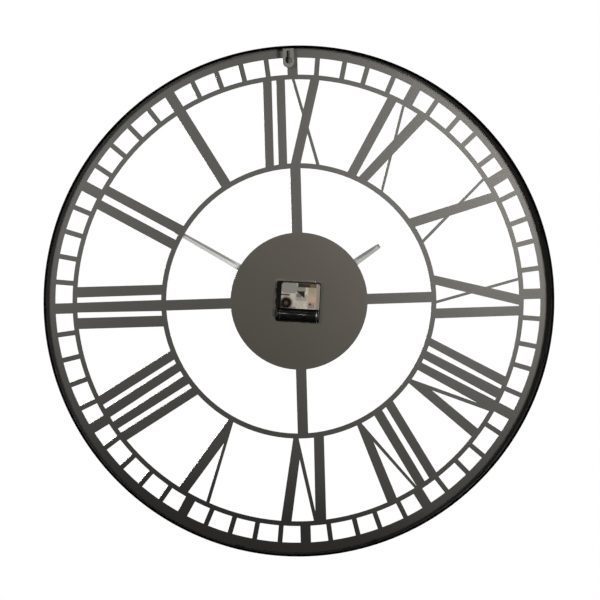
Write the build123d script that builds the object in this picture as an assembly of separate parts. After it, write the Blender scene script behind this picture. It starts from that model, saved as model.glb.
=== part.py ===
from build123d import *
import math
import os

# Wall clock: a laser-cut skeleton dial in a rolled steel hoop, with a quartz
# movement behind the centre disc.
# Frame: origin on the hand shaft's axis at mid depth, +Z up, the dial's front
# faces -Y and the wall side faces +Y. All sizes are in millimetres.

os.makedirs("parts", exist_ok=True)

# ---------------------------------------------------------------- driving dimensions
overall_d = 635.0            # outside of the hoop, 25 in
half_depth = 18.5            # cap nut front to hoop rear, halved
plate_t = 1.5                # dial sheet
plate_front_y = -8.0
plate_rear_y = plate_front_y + plate_t
hoop_wall = 1.5
hoop_front_y = -9.0
hoop_rear_y = half_depth
bead_w = 3.4                 # rolled rear edge, radial and axial size
bead_fillet = 1.0

disc_r = 85.8                # solid centre disc
inner_ring_r = (165.9, 172.2)
chapter_ring_r = (276.4, 282.3)
window_outer_r = 303.3       # windows of the minute track end here
spoke_w = 13.1
hour_bar_w = 13.0
minute_bar_w = 6.2
screen_x, screen_z, screen_r = 4.7, 300.7, 4.9   # round lug on the 12 o'clock bar, behind the keyhole
shaft_hole_r = 4.0

tab_w = 13.9                 # keyhole hanger tab
tab_t = 1.5
tab_x = 6.0
tab_rear_y = 17.9
tab_tip_z = 290.2
key_hole_r = 4.25
key_hole_z = 299.8
key_slot_w = 4.1
key_slot_top_z = 311.5

case_w, case_h = 55.0, 50.5  # movement, seen from the back
case_x, case_z = 2.25, -0.35 # its middle, measured from the shaft
case_turn = -4.9             # the movement sits slightly turned on the shaft
case_r = 3.2                 # outside corner radius
case_wall = 1.2
cover_y = (-5.5, -4.3)       # front cover of the movement
case_rear_y = 10.5
bay_split_z = (-8.9, -7.8)   # wall between the battery bay and the works
notch_x = 6.6                # finger notch in the battery bay's lower wall

hour_angle = -57.3           # hands, clockwise from 12 seen from the front
minute_angle = 58.7
hour_len, minute_len = 122.5, 178.0

outer_r = overall_d / 2
hoop_in_r = outer_r - hoop_wall
PITCH = 1.058333             # hoop radius over 300, scales the stroke table

# Bars of the minute track, degrees clockwise from 12 as seen from behind.
hour_bars = [0, 30.38, 60.01, 90.01, 119.93, 149.67, 180.06, 210.48, 240.23, 270.03, 299.94, 329.59]
minute_bars = [6.0, 12.47, 17.97, 24.55, 36.22, 42.75, 48.16, 54.78, 65.18, 71.85, 77.35, 83.95,
               96.01, 102.61, 108.16, 114.77, 125.11, 131.76, 137.24, 143.85, 155.44, 162.01,
               167.48, 174.13, 186.22, 192.29, 198.30, 204.36, 216.51, 222.60, 228.65, 234.67,
               245.65, 251.66, 257.73, 263.83, 276.33, 282.44, 288.43, 294.47, 305.46, 311.48,
               317.47, 323.56, 335.69, 341.75, 347.75, 353.82]

# Numeral strokes, one list for each hour position clockwise from behind:
# (left, right at radius 168; left, right at radius 255), tangential offsets.
strokes = {
    0: [(-35.2, -25.0, -35.2, -24.9), (-19.6, -9.35, -19.6, -9.3), (-3.7, 7.9, 19.1, 30.3), (22.8, 26.7, 0.4, 3.9)],
    1: [(-22.0, -10.8, -22.0, -10.5), (-6.0, 5.4, 16.8, 29.3), (21.0, 24.1, -1.0, 2.3)],
    2: [(-12.9, -1.2, 9.4, 20.8), (13.6, 17.2, -7.8, -4.7)],
    3: [(-23.7, -12.7, -1.2, 11.1), (3.2, 6.5, -18.2, -14.9), (13.8, 25.5, 13.9, 25.3)],
    4: [(-35.5, -26.0, -37.0, -25.7), (-19.8, -9.5, -21.6, -9.3), (-4.7, 5.4, -6.3, 6.4)],
    5: [(-32.4, -21.6, -31.9, -21.0), (-15.8, -4.5, -14.7, -3.4)],
    6: [(-24.7, -12.7, -24.7, -12.0)],
    7: [],
    8: [(-30.8, -20.1, -32.4, -20.8), (-14.4, -3.3, -15.2, -4.9), (3.5, 14.0, 1.3, 12.8), (19.0, 30.2, 18.0, 29.4)],
    9: [(-24.8, -11.9, -24.6, -11.7), (-6.4, 6.6, -5.2, 6.4), (12.7, 24.5, 12.5, 24.8)],
    10: [(-17.0, -5.2, -16.9, -5.4), (2.0, 13.6, 2.3, 13.3)],
    11: [(-7.3, 4.9, -7.9, 4.4)],
}
# V strokes: outer left and right at 168 and 255, inner left and right at 210 and 255.
vees = {
    4: (17.5, 25.7, 4.6, 44.3, 15.7, 22.9, 9.2, 32.1),
    5: (12.0, 20.1, -2.4, 35.7, 8.9, 16.0, 1.1, 23.2),
    6: (4.2, 12.8, -13.0, 28.2, 0.3, 8.4, -8.7, 15.6),
    7: (-0.4, 7.9, -18.6, 20.0, -5.4, 1.5, -14.4, 7.8),
}


# ---------------------------------------------------------------- helpers
def prism(sketch, y0, y1):
    """A sketch drawn in (X, Z), made solid from y0 to y1."""
    plane = Plane(origin=(0, y1, 0), x_dir=(1, 0, 0), z_dir=(0, -1, 0))
    return extrude(plane * sketch, amount=y1 - y0)


def disc(r, y0, y1, x=0.0, z=0.0):
    return prism(Pos(x, z) * Circle(r), y0, y1)


def ring(r_out, r_in, y0, y1, x=0.0, z=0.0):
    return prism(Pos(x, z) * (Circle(r_out) - Circle(r_in)), y0, y1)


def box(x0, x1, y0, y1, z0, z1):
    return Pos((x0 + x1) / 2, (y0 + y1) / 2, (z0 + z1) / 2) * Box(x1 - x0, y1 - y0, z1 - z0)


def poly(points):
    return make_face(Polyline(*points, close=True))


def rod_x(r, x0, x1, y, z):
    return Pos((x0 + x1) / 2, y, z) * Rot(0, 90, 0) * Cylinder(r, x1 - x0)


def merged(first, *others):
    """One solid from pieces that overlap."""
    out = first
    for piece in others:
        out = out + piece
    return out


def move(shape):
    """From the movement's own straight frame to where it sits on the shaft."""
    return Rot(0, case_turn, 0) * shape


def save(name, *solids):
    flat = []
    for s in solids:
        flat += list(s.solids())
    shape = flat[0] if len(flat) == 1 else Compound(children=[Solid(s.wrapped) for s in flat])
    shape.label = name
    export_step(shape, os.path.join("parts", name + ".step"))
    return shape


def gear_face(teeth, module, phase, share=0.43, add=0.85, ded=1.2):
    """Involute gear outline in (X, Z); phase is the angle of one tooth's middle, radians."""
    rp = teeth * module / 2
    rb = rp * math.cos(math.radians(20))
    ra, rr = rp + add * module, rp - ded * module
    inv = lambda r: math.tan(math.acos(min(1.0, rb / r))) - math.acos(min(1.0, rb / r))
    half = math.pi * share / teeth
    pts = []
    for i in range(teeth):
        mid = phase + 2 * math.pi * i / teeth
        foot = max(rb, rr)
        radii = [foot + (ra - foot) * k / 4 for k in range(5)]
        if foot > rr + 0.1 * module:
            radii = [rr] + radii
        else:
            radii[0] = rr
        side = []
        for r in radii:
            a = half + inv(rp) - inv(max(r, rb))
            side.append((r, max(a, 0.10 * half)))
        for r, a in side:
            pts.append((r * math.cos(mid - a), r * math.sin(mid - a)))
        for r, a in reversed(side):
            pts.append((r * math.cos(mid + a), r * math.sin(mid + a)))
    return poly(pts)


def mate_phase(n1, phase1, line, n2):
    """Phase of a gear of n2 teeth in mesh with one of n1 teeth; line is the angle from the first to the second."""
    return line + math.pi - (math.pi - (line - phase1) * n1) / n2


# ---------------------------------------------------------------- dial plate
def local_to_xz(k, x, y):
    """A stroke point (tangential x, radial y) at hour position k to (X, Z)."""
    a = math.radians(30 * k)
    u = x * math.cos(a) + y * math.sin(a)
    return (-u * PITCH, (y * math.cos(a) - x * math.sin(a)) * PITCH)


def bar(angle, width, r0, r1):
    a = math.radians(angle)
    radial, side = (-math.sin(a), math.cos(a)), (math.cos(a), math.sin(a))
    return poly([(radial[0] * r + side[0] * s, radial[1] * r + side[1] * s)
                 for r, s in ((r0, -width / 2), (r0, width / 2), (r1, width / 2), (r1, -width / 2))])


def stroke_face(k, s):
    l0, r0, l1, r1 = s
    at = lambda p0, p1, y: p0 + (p1 - p0) * (y - 168.0) / 87.0
    lo, hi = 150.0, 272.0
    return poly([local_to_xz(k, x, y) for x, y in
                 ((at(l0, l1, lo), lo), (at(r0, r1, lo), lo), (at(r0, r1, hi), hi), (at(l0, l1, hi), hi))])


def vee_face(k, v):
    ol0, or0, ol1, or1, il0, ir0, il1, ir1 = v
    out = lambda p0, p1, y: p0 + (p1 - p0) * (y - 168.0) / 87.0
    inn = lambda p0, p1, y: p0 + (p1 - p0) * (y - 210.0) / 45.0
    lo, hi = 150.0, 272.0
    outer = poly([local_to_xz(k, x, y) for x, y in
                  ((out(ol0, ol1, lo), lo), (out(or0, or1, lo), lo), (out(or0, or1, hi), hi), (out(ol0, ol1, hi), hi))])
    gap_slope = ((ir1 - il1) - (ir0 - il0)) / 45.0
    cross = 210.0 - (ir0 - il0) / gap_slope
    inner = poly([local_to_xz(k, x, y) for x, y in
                  ((inn(il0, il1, cross), cross), (inn(ir0, ir1, 285.0), 285.0), (inn(il0, il1, 285.0), 285.0))])
    return outer - inner


def annulus(r_out, r_in):
    return Circle(r_out) - Circle(r_in)


plate = annulus(hoop_in_r, window_outer_r)
plate += annulus(chapter_ring_r[1], chapter_ring_r[0])
plate += annulus(inner_ring_r[1], inner_ring_r[0])
plate += Circle(disc_r) - Circle(shaft_hole_r)
plate += [bar(90 * i, spoke_w, disc_r - 4, inner_ring_r[0] + 3) for i in range(4)]
plate += [bar(a, hour_bar_w, chapter_ring_r[1] - 3, window_outer_r + 4) for a in hour_bars]
plate += [bar(a, minute_bar_w, chapter_ring_r[1] - 3, window_outer_r + 4) for a in minute_bars]
numeral_zone = annulus(chapter_ring_r[0] + 2.5, inner_ring_r[1] - 2.5)
numerals = []
for k in range(12):
    numerals += [stroke_face(k, s) & numeral_zone for s in strokes[k]]
    if k in vees:
        numerals.append(vee_face(k, vees[k]) & numeral_zone)
plate += numerals
# a small round lug covers the keyhole, so that the hanging screw is not seen from the front
plate += Pos(screen_x, screen_z) * Circle(screen_r)
save("dial_plate", prism(plate, plate_front_y, plate_rear_y))

# ---------------------------------------------------------------- hoop, with its rolled rear edge
bead_in = outer_r - bead_w
section = poly([(hoop_in_r, hoop_front_y), (outer_r, hoop_front_y), (outer_r, hoop_rear_y),
                (bead_in, hoop_rear_y), (bead_in, hoop_rear_y - bead_w), (hoop_in_r, hoop_rear_y - bead_w)])


def near(v, x, y):
    return abs(v.X - x) < 1e-6 and abs(v.Y - y) < 1e-6


section = fillet([v for v in section.vertices() if near(v, outer_r, hoop_rear_y) or near(v, bead_in, hoop_rear_y)
                  or near(v, bead_in, hoop_rear_y - bead_w)], bead_fillet)
section = fillet([v for v in section.vertices() if near(v, outer_r, hoop_front_y) or near(v, hoop_in_r, hoop_front_y)], 0.45)
save("rim_hoop", revolve(section, axis=Axis.Y, revolution_arc=360))

# Tack welds in the corner between the sheet's back and the hoop, every 30 degrees.
weld_leg, weld_len = 2.6, 15.0
weld = revolve(make_face([Line((hoop_in_r, plate_rear_y), (hoop_in_r, plate_rear_y + weld_leg)),
                          Line((hoop_in_r, plate_rear_y), (hoop_in_r - weld_leg, plate_rear_y)),
                          ThreePointArc((hoop_in_r, plate_rear_y + weld_leg),
                                        (hoop_in_r - weld_leg * 0.6, plate_rear_y + weld_leg * 0.6),
                                        (hoop_in_r - weld_leg, plate_rear_y))]),
               axis=Axis.Y, revolution_arc=math.degrees(weld_len / hoop_in_r))
weld = Rot(0, -math.degrees(weld_len / hoop_in_r) / 2, 0) * weld
save("rim_tack_welds", *[Rot(0, 15 + 30 * i, 0) * weld for i in range(12)])

# ---------------------------------------------------------------- hanger tab, welded to the hoop's rear edge
tab_front_y = tab_rear_y - tab_t
tab = Pos(tab_x, (tab_tip_z + tab_w / 2 + 320) / 2) * Rectangle(tab_w, 320 - tab_tip_z - tab_w / 2)
tab += Pos(tab_x, tab_tip_z + tab_w / 2) * Circle(tab_w / 2)
tab = tab & Circle(bead_in)
tab -= Pos(tab_x, key_hole_z) * Circle(key_hole_r)
slot_end_z = key_slot_top_z - key_slot_w / 2
tab -= Pos(tab_x, (key_hole_z + slot_end_z) / 2) * Rectangle(key_slot_w, slot_end_z - key_hole_z)
tab -= Pos(tab_x, slot_end_z) * Circle(key_slot_w / 2)
save("hanger_tab", prism(tab, tab_front_y, tab_rear_y))


def arc_bead(r_mid, y_mid, size_r, size_y, start, sweep):
    """A weld bead of oval section round the shaft's axis; angles clockwise from 12 seen from the front."""
    oval = Pos(r_mid, y_mid) * Ellipse(size_r, size_y)
    return Rot(0, start - 90, 0) * revolve(oval, axis=Axis.Y, revolution_arc=sweep)


tab_mid = math.degrees(math.asin(tab_x / bead_in))
tab_sweep = math.degrees((tab_w - 1.6) / bead_in)
front_bead = arc_bead(bead_in - 0.4, tab_front_y - 0.4, 1.5, 1.4, tab_mid - tab_sweep / 2, tab_sweep)
hoop_solid = revolve(section, axis=Axis.Y, revolution_arc=360)
tab_solid = prism(tab, tab_front_y, tab_rear_y)
front_bead = front_bead - hoop_solid - tab_solid
front_bead = max(front_bead.solids(), key=lambda s: s.volume)
save("hanger_weld_bead", front_bead)

# ---------------------------------------------------------------- movement: where the arbors stand
knob_at = (17.22, -1.92)
works = (0.0, 0.0)
m_motion, m_hour = 0.375, 0.36            # minute works, hour works
minute_pair = m_motion * (12 + 36) / 2    # 9.0, shared with the hour pair
knob_dir = math.atan2(knob_at[1], knob_at[0])
knob_r = math.hypot(*knob_at)
minute_dir = knob_dir + math.acos(knob_r / 2 / minute_pair)
minute_at = (minute_pair * math.cos(minute_dir), minute_pair * math.sin(minute_dir))

m_third, m_centre, m_seconds, m_rotor = 0.233, 0.22, 0.24, 0.25
third_pair = m_centre * (64 + 8) / 2      # 7.92
m_third = third_pair * 2 / 68             # the same distance carries the 60:8 pair
third_dir = math.radians(100)
third_at = (third_pair * math.cos(third_dir), third_pair * math.sin(third_dir))
inter_pair = m_seconds * (40 + 8) / 2     # 5.76
inter_dir = math.radians(207)
inter_at = (inter_pair * math.cos(inter_dir), inter_pair * math.sin(inter_dir))
rotor_pair = m_rotor * (36 + 6) / 2       # 5.25
rotor_dir = math.radians(150)
rotor_at = (inter_at[0] + rotor_pair * math.cos(rotor_dir), inter_at[1] + rotor_pair * math.sin(rotor_dir))

# Tooth phases that put every pair in mesh at rest.
cannon_phase = minute_dir
minute_phase = mate_phase(12, cannon_phase, minute_dir, 36)
set_line = math.atan2(knob_at[1] - minute_at[1], knob_at[0] - minute_at[0])
set_phase = mate_phase(36, minute_phase, set_line, 12)
hour_phase = 0.0
minute_pinion_phase = mate_phase(40, hour_phase, minute_dir, 10)
centre_phase = 0.0
third_pinion_phase = mate_phase(64, centre_phase, third_dir, 8)
third_phase = 0.0
seconds_pinion_phase = mate_phase(60, third_phase, third_dir + math.pi, 8)
seconds_phase = 0.0
inter_pinion_phase = mate_phase(40, seconds_phase, inter_dir, 8)
inter_phase = 0.0
rotor_phase = mate_phase(36, inter_phase, rotor_dir, 6)

x0, x1 = case_x - case_w / 2, case_x + case_w / 2
z0, z1 = case_z - case_h / 2, case_z + case_h / 2
in_x0, in_x1, in_z0, in_z1 = x0 + case_wall, x1 - case_wall, z0 + case_wall, z1 - case_wall

# ---------------------------------------------------------------- movement case, rear shell with the battery bay
outline = Pos(case_x, case_z) * RectangleRounded(case_w, case_h, case_r)
case = prism(outline, cover_y[1], case_rear_y)
# Works chamber, open to the front.
case -= prism(Pos((in_x0 + in_x1) / 2, (bay_split_z[1] + in_z1) / 2)
              * RectangleRounded(in_x1 - in_x0, in_z1 - bay_split_z[1], 1.6), cover_y[1] - 1, case_rear_y - case_wall)
# Battery bay, open to the back.
bay = box(in_x0, in_x1, cover_y[1] - 1, case_rear_y + 1, in_z0, bay_split_z[0])
case -= bay
# Finger notch in the bay's lower wall, and the notches that let the contact strips through.
case -= prism(Pos(notch_x, z0) * RectangleRounded(13, 4.4, 1.9), case_rear_y - 4.5, case_rear_y + 1)
case -= box(in_x0, in_x0 + 0.45, 5.8, 8.7, bay_split_z[0] - 1, bay_split_z[1] + 2)
case -= box(in_x1 - 0.45, in_x1, 5.8, 8.7, bay_split_z[0] - 1, bay_split_z[1] + 2)
# Setting stem hole with a raised collar, and the pivot holes in the rear wall.
case += ring(6.0, 5.35, case_rear_y - 0.2, case_rear_y + 1.1, *knob_at)
case -= disc(1.56, case_rear_y - case_wall - 1, case_rear_y + 1, *knob_at)
wall_in_y = case_rear_y - case_wall
case -= disc(0.36, wall_in_y - 0.1, wall_in_y + 0.8)
case -= disc(0.36, wall_in_y - 0.1, wall_in_y + 0.8, *third_at)
case -= disc(0.33, wall_in_y - 0.1, wall_in_y + 0.8, *inter_at)
case -= disc(0.31, wall_in_y - 0.1, wall_in_y + 0.8, *rotor_at)
# Two posts that press the gear plate down.
plate_y = (-0.5, 0.5)
for px, pz in ((26.2, -5.6), (-21.6, -5.6)):
    case += disc(1.2, plate_y[1], wall_in_y + 0.1, px, pz)
# Moulded side clips that hold the front cover.
for cz in (-2.0, 12.0):
    case += box(x0 - 0.5, x0 + 0.1, -2.4, 1.4, cz - 3, cz + 3)
    case += box(x1 - 0.1, x1 + 0.5, -2.4, 1.4, cz - 3, cz + 3)
save("movement_case", move(case))

# ---------------------------------------------------------------- front cover, with the bushing's seat
cover = prism(outline, *cover_y)
cover -= disc(3.5, cover_y[0] - 1, cover_y[1] + 1)
for px, pz in ((-21.6, -5.6), (-21.6, 20.0), (26.2, 20.0), (26.2, -5.6)):
    cover += disc(1.5, cover_y[1] - 0.1, plate_y[0], px, pz)
cover -= disc(0.56, cover_y[1] - 0.8, cover_y[1] + 0.1, *minute_at)
cover -= disc(0.86, cover_y[1] - 0.8, cover_y[1] + 0.1, *knob_at)
save("movement_front_cover", move(cover))

# ---------------------------------------------------------------- gear plate between the two halves of the works
gear_plate = prism(Pos((in_x0 + in_x1) / 2, (bay_split_z[1] + in_z1) / 2)
                   * RectangleRounded(in_x1 - in_x0 - 0.5, in_z1 - bay_split_z[1] - 0.4, 1.4), *plate_y)
gear_plate -= disc(1.06, -2, 2)
gear_plate -= disc(0.36, plate_y[0] + 0.1, 2, *third_at)
gear_plate -= disc(0.31, plate_y[0] + 0.1, 2, *rotor_at)
gear_plate -= disc(0.56, -2, 2, *minute_at)
gear_plate -= disc(1.56, -2, 2, *knob_at)
for px, pz in ((10.4, 11.6), (25.6, 11.6)):              # posts under the circuit board
    gear_plate += disc(1.2, plate_y[1] - 0.1, 4.5, px, pz)
pads = ((-22.0, 18.0), (-7.9, 18.0))
for px, pz in pads:                                       # posts staked over the coil core and stator
    gear_plate += disc(1.3, plate_y[1] - 0.1, 3.2, px, pz)
    gear_plate += disc(0.7, 3.1, 5.3, px, pz)
    gear_plate += disc(1.1, 5.2, 5.7, px, pz)
save("gear_plate", move(gear_plate))

# ---------------------------------------------------------------- stator, coil and rotor
stator = Pos(*rotor_at) * Circle(5.2)
stator += poly([(-23.4, -3.0), (rotor_at[0] - 2.5, -3.0), (rotor_at[0] - 2.5, 1.6), (-20.6, 1.6), (-20.6, 19.4), (-23.4, 19.4)])
stator += poly([(-9.2, 2.0), (-6.5, 2.0), (-6.5, 19.4), (-9.2, 19.4)])
stator -= Pos(*rotor_at) * Circle(3.5)
for px, pz in pads:
    stator -= Pos(px, pz) * Circle(0.72)
save("stator", move(prism(stator, 3.2, 4.2)))

core = Pos(-14.95, 18.0) * Rectangle(16.9, 2.4)
for px, pz in pads:
    core -= Pos(px, pz) * Circle(0.72)
save("coil_core", move(prism(core, 4.2, 5.2)))

coil_x, coil_y, coil_z = (-20.2, -9.8), 4.7, 18.0
core_hole = box(-25, -5, 4.2, 5.2, coil_z - 1.2, coil_z + 1.2)
tube = box(coil_x[0], coil_x[1], coil_y - 1.0, coil_y + 1.0, coil_z - 1.7, coil_z + 1.7)
flange_a = box(coil_x[0], coil_x[0] + 0.8, coil_y - 3.6, coil_y + 3.6, coil_z - 3.6, coil_z + 3.6)
flange_b = box(coil_x[1] - 0.8, coil_x[1], coil_y - 3.6, coil_y + 3.6, coil_z - 3.6, coil_z + 3.6)
save("coil_bobbin", move(merged(tube, flange_a, flange_b) - core_hole))
save("coil_winding", move(rod_x(3.1, coil_x[0] + 0.8, coil_x[1] - 0.8, coil_y, coil_z)
                          - box(coil_x[0], coil_x[1], coil_y - 1.0, coil_y + 1.0, coil_z - 1.7, coil_z + 1.7)))

rotor_pinion = merged(disc(0.25, plate_y[0] + 0.3, 1.2, *rotor_at),
                      disc(0.40, 1.0, 8.9, *rotor_at),
                      Pos(rotor_at[0], 0, rotor_at[1]) * prism(gear_face(6, m_rotor, rotor_phase), 7.3, 8.4),
                      disc(0.25, 8.8, wall_in_y + 0.6, *rotor_at))
save("rotor_pinion", move(rotor_pinion))
save("rotor_magnet", move(ring(2.9, 0.40, 3.0, 6.3, *rotor_at)))

# ---------------------------------------------------------------- going train
save("intermediate_wheel_pin", move(disc(0.33, 5.6, wall_in_y + 0.8, *inter_at)))
inter = merged(prism(gear_face(36, m_rotor, inter_phase), 7.6, 8.1), disc(1.5, 7.1, 8.3),
               prism(gear_face(8, m_seconds, inter_pinion_phase), 5.9, 7.3)) - disc(0.38, 5, 9)
save("intermediate_wheel", move(Pos(inter_at[0], 0, inter_at[1]) * inter))

seconds = merged(disc(0.30, 1.3, 2.7), disc(0.50, 2.5, 8.9), disc(0.30, 8.8, wall_in_y + 0.6),
                 prism(gear_face(8, m_third, seconds_pinion_phase), 4.3, 5.5),
                 disc(1.6, 5.5, 6.9), prism(gear_face(40, m_seconds, seconds_phase), 6.2, 6.8))
save("seconds_wheel", move(seconds))

third = merged(disc(0.30, plate_y[0] + 0.3, 0.8), disc(0.50, 0.7, 8.9), disc(0.30, 8.8, wall_in_y + 0.6),
               prism(gear_face(8, m_centre, third_pinion_phase), 0.7, 2.0),
               disc(1.6, 3.9, 5.2), prism(gear_face(60, m_third, third_phase), 4.6, 5.2))
save("third_wheel", move(Pos(third_at[0], 0, third_at[1]) * third))

centre = merged(prism(gear_face(64, m_centre, centre_phase), 0.9, 1.7), disc(2.2, 0.7, 2.2)) - disc(1.05, 0, 3)
save("centre_wheel", move(centre))

# ---------------------------------------------------------------- motion works
pipe_out, pipe_in = 2.55, 1.60
shaft_r = 1.55
hour_hand_y, minute_hand_y = (-12.7, -12.1), (-15.5, -14.9)
cannon = merged(disc(shaft_r, -14.9, -0.8), disc(1.25, -17.2, -14.8), disc(1.0, -0.9, 2.3),
                prism(gear_face(12, m_motion, cannon_phase), -2.7, -0.8)) - disc(0.35, 1.1, 2.4)
save("minute_shaft", move(cannon))
minute_wheel = merged(disc(0.50, cover_y[1] - 0.7, plate_y[1]), prism(gear_face(10, m_hour, minute_pinion_phase), -4.0, -2.1),
                      prism(gear_face(36, m_motion, minute_phase), -2.2, -1.2), disc(2.4, -1.3, -0.8))
save("minute_wheel", move(Pos(minute_at[0], 0, minute_at[1]) * minute_wheel))
hour_wheel = merged(prism(gear_face(40, m_hour, hour_phase), -3.9, -2.9), disc(pipe_out, -13.4, -3.0)) - disc(pipe_in, -14, -2)
save("hour_wheel", move(hour_wheel))

# Setting stem, its gear and the knob outside the case.
stem = merged(disc(0.80, cover_y[1] - 0.7, -2.4, *knob_at), disc(1.50, -2.5, 13.0, *knob_at),
              Pos(knob_at[0], 0, knob_at[1]) * prism(gear_face(12, m_motion, set_phase), -2.5, -0.9))
save("setting_stem", move(stem))
knob_y = (10.9, 13.6)
knob = Circle(4.95)
for i in range(24):
    a = 2 * math.pi * i / 24
    knob -= Pos(5.1 * math.cos(a), 5.1 * math.sin(a)) * Circle(0.42)
knob = prism(knob, *knob_y)
knob -= prism(Circle(3.3), knob_y[1] - 0.6, knob_y[1] + 1)
knob -= disc(1.5, knob_y[0] - 1, 13.0)
save("setting_knob", move(Pos(knob_at[0], 0, knob_at[1]) * knob))

# ---------------------------------------------------------------- circuit board and contacts
board_y = (4.5, 5.3)
save("circuit_board", move(box(8.0, 28.0, *board_y, 9.5, 21.6)))
save("quartz_crystal", move(rod_x(1.0, 11.5, 17.5, board_y[1] + 1.0, 12.0)))
blob = Pos(21.0, board_y[1], 15.6) * (Sphere(4.0) & (Pos(0, 3.55, 0) * Box(9, 3.0, 9)))
blob = Pos(0, -2.05, 0) * blob
save("chip_blob", move(blob))
save("coil_leads", move(rod_x(0.12, coil_x[1], 9.6, board_y[1] + 0.12, 16.5)),
     move(rod_x(0.12, coil_x[1], 9.6, board_y[1] + 0.12, 19.5)))

strip = 0.3
positive = merged(box(in_x0, in_x0 + strip, -1.0, 7.0, -21.0, -11.0),
                  box(in_x0, in_x0 + strip, 6.0, 8.5, -20.0, in_z1 - 1.7),
                  box(in_x0, in_x0 + 2.0, 6.0, 8.5, in_z1 - 1.9, in_z1 - 1.6),
                  box(in_x0 + 1.8, in_x0 + 2.1, 6.0, 8.5, in_z1 - 1.9, in_z1),
                  box(in_x0 + 1.8, 10.4, 6.0, 8.5, in_z1 - strip, in_z1),
                  box(8.4, 10.4, board_y[1], 6.4, in_z1 - strip, in_z1),
                  box(8.4, 10.4, board_y[1], board_y[1] + strip, in_z1 - 3.6, in_z1))
save("positive_contact", move(positive))
negative = merged(box(in_x1 - strip, in_x1, -1.0, 7.0, -21.0, -11.0),
                  box(in_x1 - strip, in_x1, 6.0, 8.5, -20.0, 16.0),
                  box(in_x1 - strip, in_x1, board_y[1], 6.4, 13.0, 16.0),
                  box(in_x1 - 1.9, in_x1, board_y[1], board_y[1] + strip, 13.0, 16.0),
                  prism(poly([(in_x1 - strip, -20.6), (in_x1 - strip, -20.2), (in_x1 - 1.2, -17.0), (in_x1 - 1.2, -15.6),
                              (in_x1 - strip, -12.4), (in_x1 - strip, -12.0), (in_x1 - 0.85, -15.4),
                              (in_x1 - 0.85, -17.2)]), 0.6, 5.4))
save("negative_contact", move(negative))

# ---------------------------------------------------------------- battery
cell_x = (-23.5, 27.1)
cell_y, cell_z, cell_r = 3.0, -16.4, 7.2
skin = 0.15
can_x = (cell_x[0] + 1.4, cell_x[1] - 0.3)
barrel = rod_x(cell_r - skin, *can_x, cell_y, cell_z)
barrel = fillet(barrel.edges().filter_by(GeomType.CIRCLE).sort_by(Axis.X)[0], 0.6)
can = merged(barrel,
             rod_x(2.75, cell_x[0], cell_x[0] + 2.0, cell_y, cell_z),
             rod_x(4.6, cell_x[1] - 0.6, cell_x[1], cell_y, cell_z))
save("battery_cell", move(can))
# The wrap stops short of the bare steel shoulder at the positive end.
sleeve = (rod_x(cell_r, cell_x[0] + 2.6, cell_x[1] - 0.1, cell_y, cell_z)
          - rod_x(cell_r - skin, *can_x, cell_y, cell_z)
          - rod_x(5.6, cell_x[1] - 3, cell_x[1] + 1, cell_y, cell_z))
save("battery_sleeve", move(sleeve))

# ---------------------------------------------------------------- label on the case's back
label_x, label_z = (-24.3, 24.3), (-8.6, 24.0)
label = Pos((label_x[0] + label_x[1]) / 2, (label_z[0] + label_z[1]) / 2) * Rectangle(label_x[1] - label_x[0], label_z[1] - label_z[0])
for lx, lz, lr in ((1, 1, 3.8), (0, 1, 2.4), (0, 0, 0.8), (1, 0, 0.8)):
    label = fillet([v for v in label.vertices() if near(v, label_x[lx], label_z[lz])], lr)
label -= Pos(*knob_at) * Circle(6.25)
label = prism(label, case_rear_y, case_rear_y + 0.15)
label = max(label.solids(), key=lambda s: s.volume)
save("movement_label", move(label))

# ---------------------------------------------------------------- mounting hardware on the shaft's axis
bushing = merged(disc(3.5, cover_y[0], cover_y[1]), disc(4.6, cover_y[1], cover_y[1] + 0.3),
                 disc(3.9, -11.2, cover_y[0])) - disc(2.60, -12, -3)
# Rolled thread, shown as closed grooves in front of the sheet.
for i in range(7):
    y = -11.0 + 0.75 * i
    groove = make_face(Polyline((3.9 + 0.1, y), (3.9 + 0.1, y + 0.5), (3.62, y + 0.25), close=True))
    bushing -= revolve(groove, axis=Axis.Y, revolution_arc=360)
save("threaded_bushing", bushing)
save("rubber_washer", ring(11.0, 3.95, plate_rear_y, cover_y[0]))
save("brass_washer", ring(8.0, 3.95, plate_front_y - 0.5, plate_front_y))
hexagon = RegularPolygon(7.0 / math.cos(math.pi / 6), 6) - Circle(3.9)
nut = prism(hexagon, plate_front_y - 2.7, plate_front_y - 0.5)
cone = revolve(make_face(Polyline((7.0, plate_front_y - 2.7), (8.2, plate_front_y - 2.7), (8.2, plate_front_y - 2.0), close=True)),
               axis=Axis.Y, revolution_arc=360)
save("hex_nut", nut - cone)

# ---------------------------------------------------------------- hands


def blade(points, y0, y1, ridge):
    """A stamped hand blade: straight outline, folded along its middle so the middle stands forward by ridge."""
    halves = []
    for (r0, w0), (r1, w1) in zip(points[:-1], points[1:]):
        for side in (-1, 1):
            a = [(0, y0 - ridge), (side * w0 / 2, y0), (side * w0 / 2, y1), (0, y1 - ridge)]
            b = [(0, y0 - ridge), (side * w1 / 2, y0), (side * w1 / 2, y1), (0, y1 - ridge)]
            fa = make_face(Polyline(*[(x, y, r0) for x, y in a], close=True))
            fb = make_face(Polyline(*[(x, y, r1) for x, y in b], close=True))
            halves.append(loft([fa, fb], ruled=True))
    out = halves[0]
    for h in halves[1:]:
        out = out + h
    return out


def hand(points, tail, y, hub_r, hole_r, ridge):
    """Blade and tail on a flat round hub with the shaft hole."""
    body = merged(blade(points, y[0], y[1], ridge), blade(tail, y[0], y[1], ridge))
    hub = disc(hub_r, y[0], y[1])
    return (body - disc(hub_r - 1.5, y[0] - 3, y[1] + 3)) + hub - disc(hole_r, y[0] - 5, y[1] + 5)


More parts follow.
